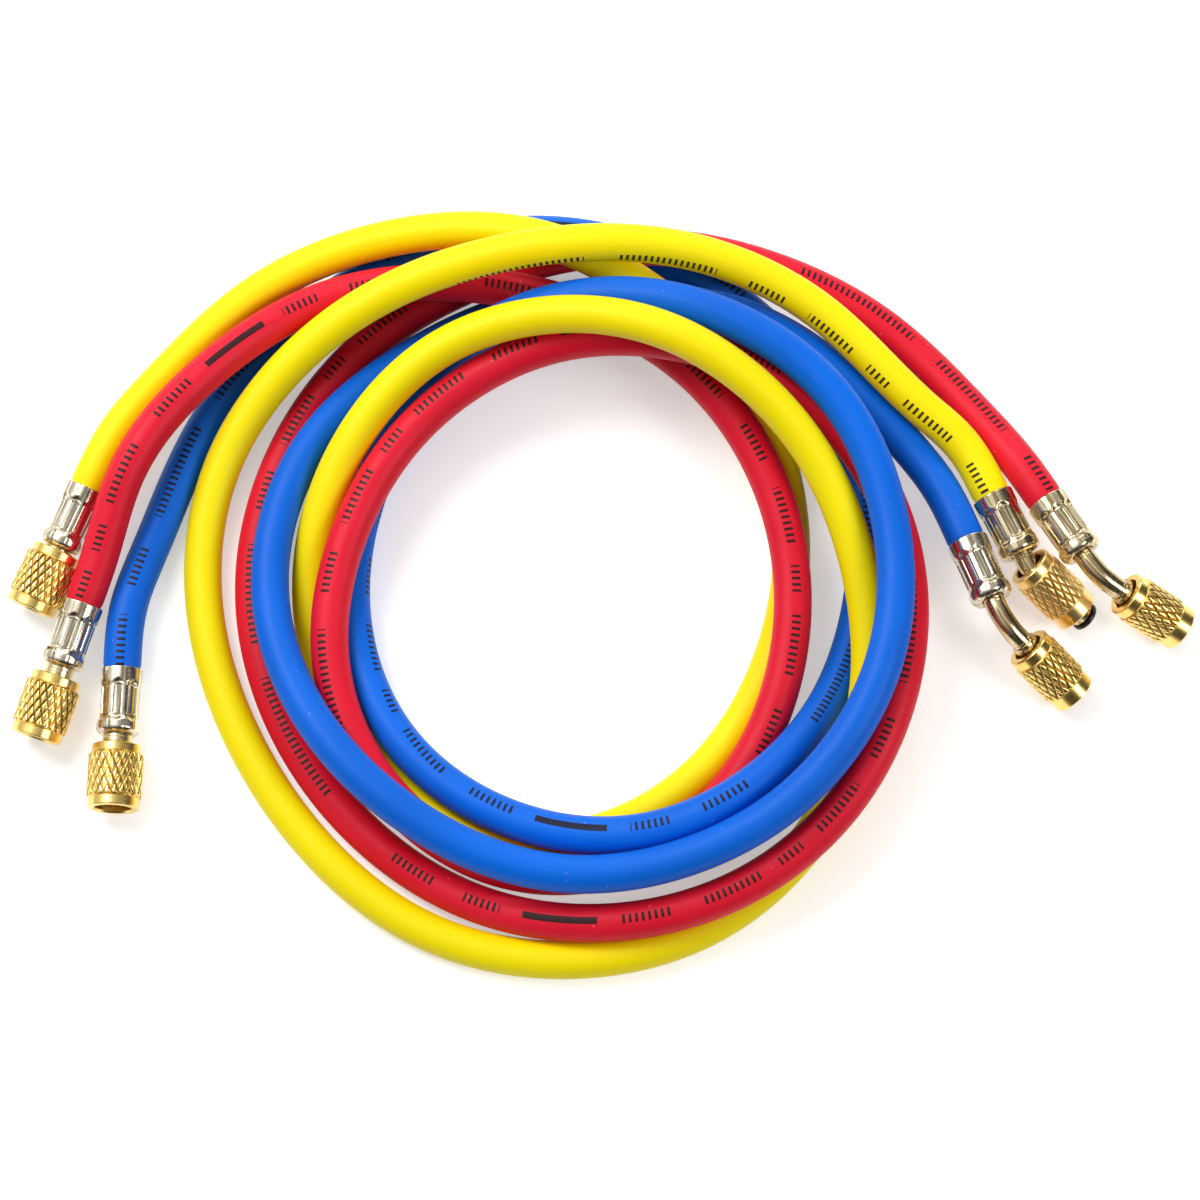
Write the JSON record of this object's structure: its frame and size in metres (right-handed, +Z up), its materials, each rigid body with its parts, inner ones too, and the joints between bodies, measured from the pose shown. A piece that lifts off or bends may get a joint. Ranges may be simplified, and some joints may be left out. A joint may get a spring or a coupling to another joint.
{
  "type": "refrigerant charging hose set",
  "caption": "Coiled charging hoses in yellow, red and blue, each with a straight and a bent fitting that end in knurled swivel nuts.",
  "frame": {"origin": "middle of the heap's box in plan, at the surface that it lies on", "axes": "+X from the straight fittings to the bent fittings, +Y away from the viewer across the coil, +Z up"},
  "size_m": [0.3566, 0.2376, 0.0553],
  "materials": {
    "yellow_rubber": "smooth synthetic rubber with a soft sheen",
    "red_rubber": "smooth synthetic rubber with a soft sheen",
    "blue_rubber": "smooth synthetic rubber with a soft sheen",
    "nickel_plate": "bright nickel plate",
    "brass": "turned and knurled brass",
    "black_rubber": "moulded black rubber"
  },
  "bodies": {
    "hoses": {"yellow_hose": "yellow_rubber", "yellow_ferrule_straight": "nickel_plate", "yellow_ferrule_bent": "nickel_plate", "yellow_stem_straight": "brass", "yellow_stem_bent": "nickel_plate", "yellow_gasket_straight": "black_rubber", "yellow_gasket_bent": "black_rubber", "yellow_depressor": "brass", "red_hose": "red_rubber", "red_ferrule_straight": "nickel_plate", "red_ferrule_bent": "nickel_plate", "red_stem_straight": "brass", "red_stem_bent": "nickel_plate", "red_gasket_straight": "black_rubber", "red_gasket_bent": "black_rubber", "red_depressor": "brass", "blue_hose": "blue_rubber", "blue_ferrule_straight": "nickel_plate", "blue_ferrule_bent": "nickel_plate", "blue_stem_straight": "brass", "blue_stem_bent": "nickel_plate", "blue_gasket_straight": "black_rubber", "blue_gasket_bent": "black_rubber", "blue_depressor": "brass"},
    "yellow_nut_straight_body": {"yellow_nut_straight": "brass"},
    "yellow_nut_bent_body": {"yellow_nut_bent": "brass"},
    "red_nut_straight_body": {"red_nut_straight": "brass"},
    "red_nut_bent_body": {"red_nut_bent": "brass"},
    "blue_nut_straight_body": {"blue_nut_straight": "brass"},
    "blue_nut_bent_body": {"blue_nut_bent": "brass"}
  },
  "joints": [
    {"name": "yellow_nut_straight_swivel", "type": "hinge", "parent": "hoses", "child": "yellow_nut_straight_body", "pos_m": [-0.16337, 0.01029, 0.01049], "axis": [-0.4185, -0.8975, -0.1392], "continuous": true},
    {"name": "yellow_nut_bent_swivel", "type": "hinge", "parent": "hoses", "child": "yellow_nut_bent_body", "pos_m": [0.12839, 0.00403, 0.01626], "axis": [0.7042, -0.5645, -0.4307], "continuous": true},
    {"name": "red_nut_straight_swivel", "type": "hinge", "parent": "hoses", "child": "red_nut_straight_body", "pos_m": [-0.16239, -0.02874, 0.01022], "axis": [-0.3199, -0.9396, -0.1219], "continuous": true},
    {"name": "red_nut_bent_swivel", "type": "hinge", "parent": "hoses", "child": "red_nut_bent_body", "pos_m": [0.15718, -0.00437, 0.01545], "axis": [0.8059, -0.3982, -0.4381], "continuous": true},
    {"name": "blue_nut_straight_swivel", "type": "hinge", "parent": "hoses", "child": "blue_nut_straight_body", "pos_m": [-0.14408, -0.04943, 0.0083], "axis": [-0.0349, -0.9994, 0], "continuous": true},
    {"name": "blue_nut_bent_swivel", "type": "hinge", "parent": "hoses", "child": "blue_nut_bent_body", "pos_m": [0.12738, -0.021, 0.01586], "axis": [0.6845, -0.5641, -0.4618], "continuous": true}
  ]
}
